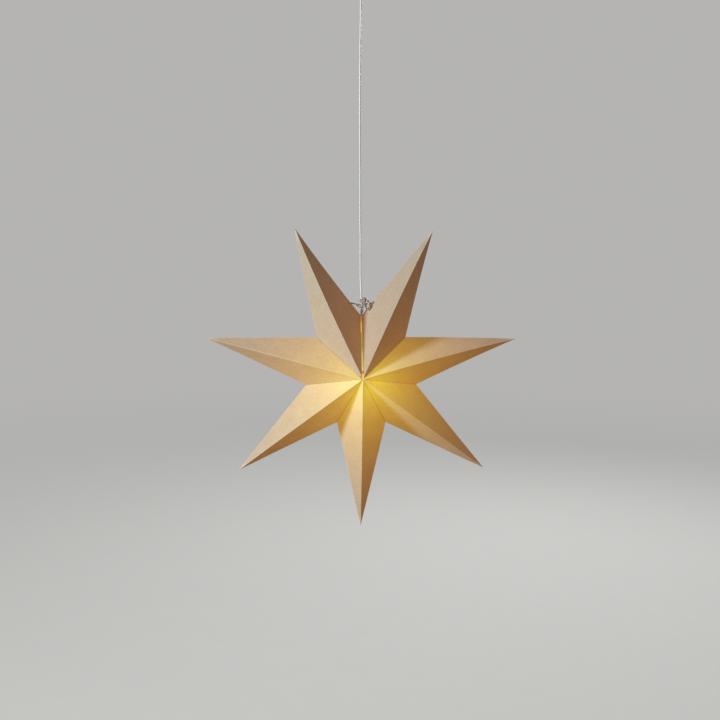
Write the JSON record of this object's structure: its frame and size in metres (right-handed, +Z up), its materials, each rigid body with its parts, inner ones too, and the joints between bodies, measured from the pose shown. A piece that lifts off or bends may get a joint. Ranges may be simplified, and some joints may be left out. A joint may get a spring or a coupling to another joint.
{
  "type": "paper advent star lamp",
  "caption": "Large folded card star with sharp points, lit from inside by a small bulb and hung on a flat lead from a ceiling cup.",
  "frame": {"origin": "middle of the ceiling bar's two screw holes, in the plane of the ceiling", "axes": "+Z up into the ceiling, -Y out of the star's front, +X to the right as seen from the front"},
  "size_m": [0.585, 0.18, 1.07],
  "materials": {
    "kraft_card": "matte",
    "tie_cord": "satin",
    "lead_sheath": "satin",
    "holder_plastic": "satin",
    "insulator": "matte",
    "contact_brass": "satin",
    "lamp_glass": "frosted",
    "plated_steel": "satin",
    "white_plastic": "satin"
  },
  "bodies": {
    "root": {"point_bottom": "kraft_card", "point_low_left": "kraft_card", "point_left": "kraft_card", "point_top_left": "kraft_card", "point_top_right": "kraft_card", "point_right": "kraft_card", "point_low_right": "kraft_card", "tie_string": "tie_cord", "lead": "lead_sheath", "holder_cap": "holder_plastic", "holder_shell": "holder_plastic", "holder_core": "insulator", "thread_shell": "contact_brass", "centre_contact": "contact_brass", "bulb_cap": "contact_brass", "bulb_glass": "lamp_glass", "ceiling_bar": "plated_steel", "hanger_tube": "plated_steel", "tube_nut": "plated_steel", "ceiling_cup": "white_plastic", "cord_grip": "white_plastic", "grip_screw": "white_plastic", "terminal_block": "white_plastic"}
  },
  "joints": []
}
